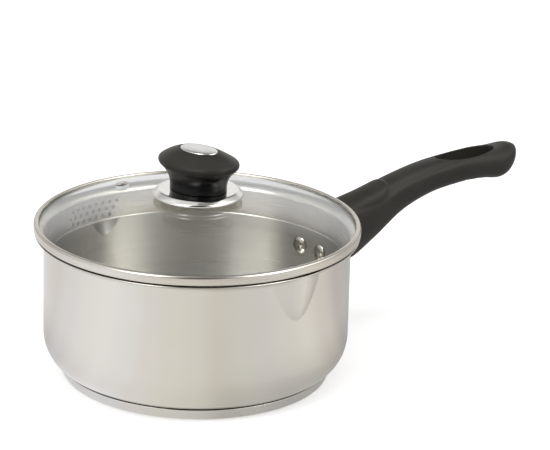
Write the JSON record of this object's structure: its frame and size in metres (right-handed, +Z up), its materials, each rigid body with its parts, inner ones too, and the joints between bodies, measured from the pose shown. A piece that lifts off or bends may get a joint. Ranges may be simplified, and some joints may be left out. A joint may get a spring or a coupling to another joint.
{
  "type": "saucepan with glass lid",
  "caption": "Saucepan with pressed pour spouts, a hollow-end black handle and a domed glass lid whose steel rim carries a perforated straining skirt.",
  "frame": {"origin": "centre of the base's underside, where the pan stands", "axes": "+Z up; +X from the pan's axis towards the end of the handle; the pour spouts face +Y and -Y"},
  "size_m": [0.359, 0.1932, 0.1376],
  "materials": {
    "polished_steel": "mirror-polished stainless steel, brushed inside",
    "rim_steel": "satin to polished stainless steel",
    "base_steel": "polished side, ring-turned underside",
    "brushed_steel": "plain brushed stainless steel",
    "cap_steel": "brushed along its length",
    "aluminium": "plain rolled",
    "chrome_plate": "bright chrome",
    "brass": "turned and knurled",
    "black_phenolic": "satin moulded phenolic",
    "clear_silicone": "translucent silicone",
    "clear_glass": "clear tempered glass with a faint green-grey tint"
  },
  "bodies": {
    "pot": {"pot_shell": "polished_steel", "base_heat_disc": "aluminium", "base_capsule": "base_steel", "handle_bracket": "brushed_steel", "handle_rivet_left": "polished_steel", "handle_rivet_right": "polished_steel", "handle_grip": "black_phenolic", "handle_screw": "brushed_steel"},
    "lid_carrier": {"glass_edge_seal": "clear_silicone"},
    "lid": {"lid_glass": "clear_glass", "lid_rim": "rim_steel", "vent_eyelet": "rim_steel", "vent_washer": "clear_silicone", "knob_body": "black_phenolic", "knob_cap": "cap_steel", "knob_plate": "chrome_plate", "knob_insert": "brass", "knob_screw": "brushed_steel", "knob_gasket_upper": "clear_silicone", "knob_gasket_lower": "clear_silicone", "knob_washer": "brushed_steel"}
  },
  "joints": [
    {"name": "lid_lift", "type": "slide", "parent": "pot", "child": "lid_carrier", "axis": [0, 0, 1], "range_m": [0, 0.1]},
    {"name": "lid_turn", "type": "hinge", "parent": "lid_carrier", "child": "lid", "pos_m": [0, 0, 0.09], "axis": [0, 0, 1], "continuous": true}
  ]
}
